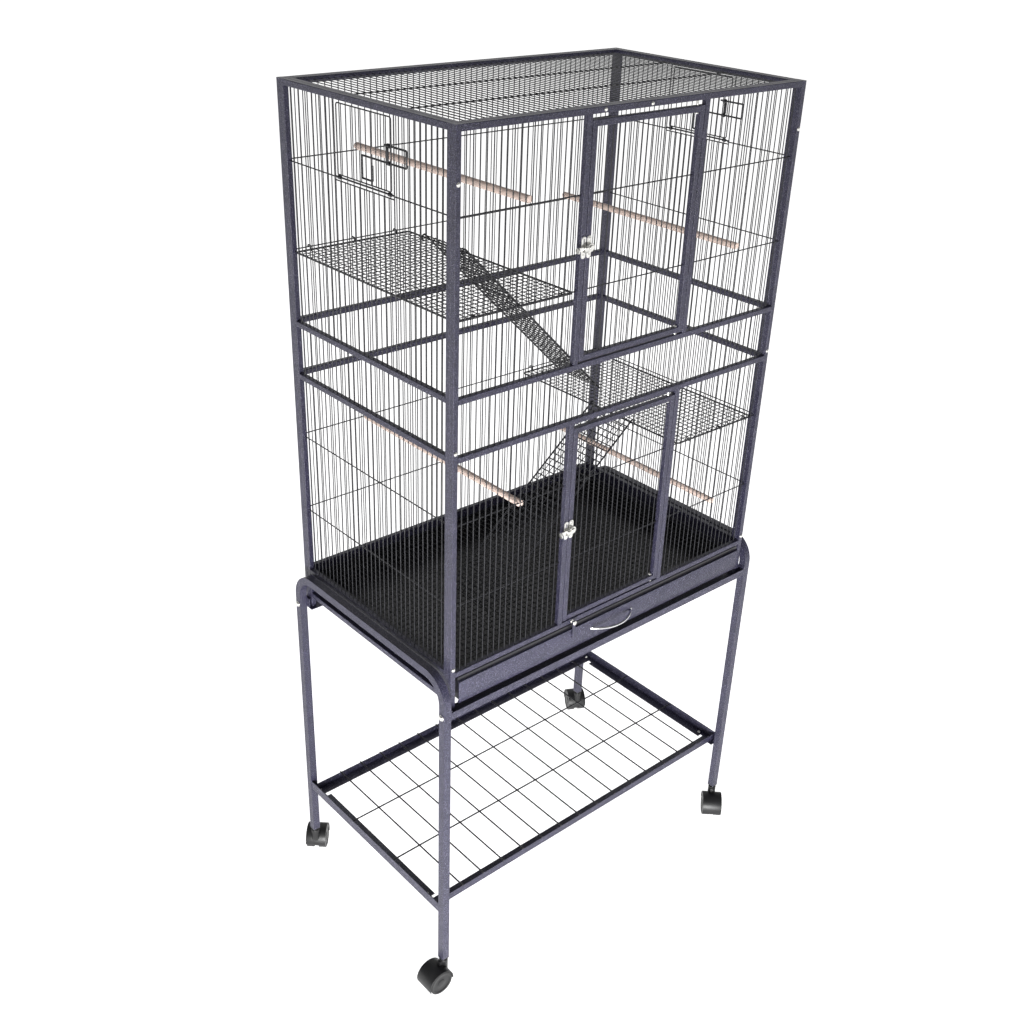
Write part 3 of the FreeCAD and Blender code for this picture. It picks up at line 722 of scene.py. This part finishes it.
def trayCatch():
    low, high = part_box("tray_catch")
    x, y, z = (low.x + high.x) / 2, cage["front"], high.z - 0.0037
    tab = roundedPlate((x - 0.0037, low.y, low.z), (x + 0.0037, high.y, high.z), 0.0034, 0.0004)
    bore = wire((x, low.y - 0.002, z), (x, high.y + 0.002, z), 0.00206, 24)
    useModifier(tab, "BOOLEAN", object=bore, operation="DIFFERENCE", solver="EXACT")
    bpy.data.objects.remove(bore)
    finishPiece(tab, "trayCatch", "tray_catch")
    shank = cap((x, y, z), (x, y - 0.0085, z), 0.002, 0.0003, 24)
    head = cap((x, y - 0.008, z), (x, y - 0.0096, z), 0.0044, 0.0007, 32)
    cross = [slab((x - a, y - 0.0099, z - b), (x + a, y - 0.0094, z + b), 0.0001)
             for a, b in ((0.0024, 0.0004), (0.0004, 0.0024))]
    washer = cap((x, y, z), (x, y - 0.0012, z), 0.0036, 0.0004, 32)
    finishPiece(joinAll([shank, head, washer] + cross), "trayCatchScrew", "tray_catch_screw")


tray()
trayFront()
trayHandle()
trayCatch()
print("tray done")


bolt = {
    "panelHeights": (0.734, 1.137, 1.544), "topRailX": (-0.100, 0.0),
    "leg": (0.403, 0.2275, 0.6485), "shelfX": 0.393,
    "shelfSeats": ((-0.202, 0.188), (-0.172, 0.1865), (0.202, 0.188)),
}


def boltHead(x, y, z, way, radius=0.0034, tall=0.002):
    way = Vector(way)
    start = Vector((x, y, z))
    washer = cap(start, start + way * 0.0007, radius * 1.02, 0.0002, 24)
    dome = easeEdges(wire(start, start + way * tall, radius * 0.86, 24), tall * 0.7, 4)
    return [washer, dome]


def panelBolts():
    parts = []
    x = cage["halfWidth"] - cage["bar"] / 2
    for side in (-1, 1):
        for z in bolt["panelHeights"]:
            parts += boltHead(side * x, cage["front"], z, (0, -1, 0))
            parts += boltHead(side * x, cage["back"], z, (0, 1, 0))
    for x in bolt["topRailX"]:
        parts += boltHead(x, cage["front"], cage["rails"][3] + cage["bar"] / 2, (0, -1, 0), 0.003)
    finishPiece(joinAll(parts), "panelBolts", "panel_bolts")


def standBolts():
    parts = []
    legX, legY, legZ = bolt["leg"]
    for side in (-1, 1):
        for y in (-legY, legY):
            parts += boltHead(side * legX, y, legZ, (side, 0, 0), 0.0055, 0.0035)
        for y, z in bolt["shelfSeats"]:
            parts += boltHead(side * bolt["shelfX"], y, z, (0, 0, 1), 0.0036, 0.003)
    finishPiece(joinAll(parts), "standBolts", "stand_bolts")


panelBolts()
standBolts()


def perch(node):
    low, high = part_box(node)
    x, z, r = (low.x + high.x) / 2, (low.z + high.z) / 2, (high.x - low.x) / 2
    dowel = cap((x, low.y, z), (x, high.y, z), r, 0.0012, 40)
    for y, way in ((low.y, 1), (high.y, -1)):  # a saw cut that sits on the cross wire
        edge, foot = y + way * 0.0035, z - r
        cut = slab((x - 0.01, min(y, edge), foot - 0.002), (x + 0.01, max(y, edge), foot + 0.0022))
        useModifier(dowel, "BOOLEAN", object=cut, operation="DIFFERENCE", solver="EXACT")
        bpy.data.objects.remove(cut)
    words = node.split("_")
    finishPiece(dowel, "perch" + words[1].title() + words[2].title(), node)


for node in [n for n in frame["nodes"] if n.startswith("perch")]:
    perch(node)
print("bolts and perches done")


caster = {"wheel": 0.025, "inside": 0.0052, "outside": 0.0208, "trail": 0.020,
          "hood": 0.0283, "hoodWall": 0.0021, "halfWidth": 0.0215, "skirt": 0.022,
          "stem": 0.004, "stemTop": 0.086, "axle": 0.003}


def wheelShape():
    # outer face towards +y, axle on the y axis
    wide = caster["outside"] - caster["inside"]
    middle = (caster["outside"] + caster["inside"]) / 2
    wheel = wire((0, middle - wide / 2, 0), (0, middle + wide / 2, 0), caster["wheel"], 56)
    pickFaces(wheel, lambda face: face.normal.y > 0.9)
    bpy.ops.mesh.inset(thickness=0.0050)
    bpy.ops.mesh.extrude_region_move(TRANSFORM_OT_translate={"value": (0, -0.0012, 0)})
    bpy.ops.mesh.inset(thickness=0.0115)
    bpy.ops.mesh.extrude_region_move(TRANSFORM_OT_translate={"value": (0, 0.0010, 0)})
    bpy.ops.object.mode_set(mode="OBJECT")
    easeEdges(wheel, 0.0008, 2, 40)
    return wheel


def hoodShape():
    # shell over the two wheels, web between them, boss and stem; wheels trail to +x
    hub = Vector((caster["trail"], 0, caster["wheel"]))
    half = Vector((0, caster["halfWidth"], 0))
    clearSelection()
    bpy.ops.mesh.primitive_cylinder_add(vertices=64, radius=caster["hood"], depth=2 * caster["halfWidth"],
                                        location=hub, rotation=(math.pi / 2, 0, 0), end_fill_type="NOTHING")
    shell = settle(bpy.context.object)
    choose(shell)
    bpy.ops.object.mode_set(mode="EDIT")
    bpy.ops.mesh.select_all(action="SELECT")
    bpy.ops.mesh.bisect(plane_co=(0, 0, caster["skirt"]), plane_no=(0.12, 0, 1), clear_inner=True)
    bpy.ops.object.mode_set(mode="OBJECT")
    useModifier(shell, "SOLIDIFY", thickness=caster["hoodWall"], offset=-1)
    easeEdges(shell, 0.0009, 3)
    web = easeEdges(wire(hub - half * 0.2, hub + half * 0.2, 0.0225, 48), 0.0008)
    rib = slab((0.0, -0.0045, 0.040), (0.012, 0.0045, 0.0605), 0.0015)
    boss = cap((0, 0, 0.034), (0, 0, 0.064), 0.0085, 0.0016, 40)
    collar = cap((0, 0, 0.060), (0, 0, 0.0655), 0.0062, 0.0008, 32)
    stem = cap((0, 0, 0.050), (0, 0, caster["stemTop"]), caster["stem"], 0.0008, 24)
    axle = cap(hub - half * 0.9, hub + half * 0.9, caster["axle"], 0.0005, 20)
    return joinAll([shell, web, rib, boss, collar, stem, axle])


def copyOf(piece, matrix):
    double = piece.copy()
    double.data = piece.data.copy()
    bpy.context.collection.objects.link(double)
    double.data.transform(matrix)
    return double


def casters():
    wheel, hood = wheelShape(), hoodShape()
    for corner in ("front_left", "front_right", "back_left", "back_right"):
        stem = jointNamed["caster_" + corner + "_swivel"]["pos_m"]
        axis = jointNamed["caster_wheel_" + corner + "_a_spin"]["axis"]
        heading = Matrix.Rotation(math.atan2(-axis[0], axis[1]), 4, "Z")
        turn = Matrix.Translation((stem[0], stem[1], 0)) @ heading
        label = "".join(word.title() for word in corner.split("_"))
        finishPiece(copyOf(hood, turn), "casterHood" + label, "caster_hood_" + corner)
        hub = turn @ Matrix.Translation((caster["trail"], 0, caster["wheel"]))
        finishPiece(copyOf(wheel, hub), "casterWheel" + label + "B", "caster_wheel_" + corner + "_b")
        inward = hub @ Matrix.Rotation(math.pi, 4, "Z")
        finishPiece(copyOf(wheel, inward), "casterWheel" + label + "A", "caster_wheel_" + corner + "_a")
    bpy.data.objects.remove(wheel)
    bpy.data.objects.remove(hood)


casters()
print("casters done")


shelf = {"wire": 0.0016, "pitch": 0.0517, "count": 14, "reach": 0.210, "crossAt": 0.070}


def shelfWires():
    low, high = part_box("shelf_grid")
    r = shelf["wire"]
    first = -shelf["pitch"] * (shelf["count"] - 1) / 2
    y, z = shelf["reach"], high.z - r + 0.0001
    parts = [wireRow((first, -y, z), (first, y, z), r, (shelf["pitch"], 0, 0), shelf["count"], 12)]
    for y in (-shelf["crossAt"], shelf["crossAt"]):
        parts.append(wire((low.x, y, low.z + r), (high.x, y, low.z + r), r, 12))
    finishPiece(joinAll(parts), "shelfWires", "shelf_grid")


shelfWires()
for node, piece in frame["nodes"].items():
    for slot in piece.material_slots:
        slot.material = slotMaterial[nodeSlot[node]]
print("finishes put on the solids")


studio = {"key": 12, "low": 22, "lowSpread": 60, "back": 30, "top": 6, "fill": 0.14,
          "floorGlow": 1.0, "floorSize": 120}
view = {"place": (-1.40613, -1.50979, 1.92804), "heading": 41.804, "dip": 28.3285,
        "lean": 2.0828, "lens": 42.063}


def floor():
    clearSelection()
    bpy.ops.mesh.primitive_plane_add(size=studio["floorSize"], location=(0, 0, 0))
    plane = bpy.context.object
    plane.name = "floor"
    plane.data.materials.append(makeFloorWhite())


def softLight(name, power, place, size, aim=(0, 0, 0.9), spread=180):
    bpy.ops.object.light_add(type="AREA", location=place)
    lamp = bpy.context.object
    lamp.name = name
    lamp.data.energy = power
    lamp.data.spread = math.radians(spread)
    lamp.data.shape = "RECTANGLE"
    lamp.data.size, lamp.data.size_y = size
    lamp.rotation_euler = (Vector(place) - Vector(aim)).to_track_quat("Z", "Y").to_euler()


def camera():
    # looks along the heading, tipped down, with a slight lean
    heading, dip, lean = [math.radians(view[k]) for k in ("heading", "dip", "lean")]
    ahead = Vector((math.sin(heading) * math.cos(dip), math.cos(heading) * math.cos(dip), -math.sin(dip)))
    right = Vector((math.cos(heading), -math.sin(heading), 0))
    up = right.cross(ahead)
    rightLean = right * math.cos(lean) + up * math.sin(lean)
    upLean = up * math.cos(lean) - right * math.sin(lean)
    data = bpy.data.cameras.new("camera")
    data.lens, data.sensor_width = view["lens"], 36
    data.clip_end = 100
    eye = bpy.data.objects.new("camera", data)
    bpy.context.collection.objects.link(eye)
    turn = Matrix((rightLean, upLean, -ahead)).transposed().to_4x4()
    eye.matrix_world = Matrix.Translation(view["place"]) @ turn
    bpy.context.scene.camera = eye


floor()
clearSelection()
softLight("keyLight", studio["key"], (-2.6, -2.4, 3.0), (2.4, 2.4))
softLight("lowLight", studio["low"], (-1.9, -2.3, 0.45), (1.4, 0.9), (0, 0, 0.35), studio["lowSpread"])
softLight("backLight", studio["back"], (2.4, 3.2, 3.2), (4.5, 3.0))
softLight("topLight", studio["top"], (0, 0, 4.0), (3.0, 3.0))
world = bpy.data.worlds.new("studio")
bpy.context.scene.world = world
world.use_nodes = True
world.node_tree.nodes["Background"].inputs["Color"].default_value = (1, 1, 1, 1)
world.node_tree.nodes["Background"].inputs["Strength"].default_value = studio["fill"]
bpy.context.scene.view_settings.view_transform = "Standard"
camera()
clearSelection()
print("studio set")
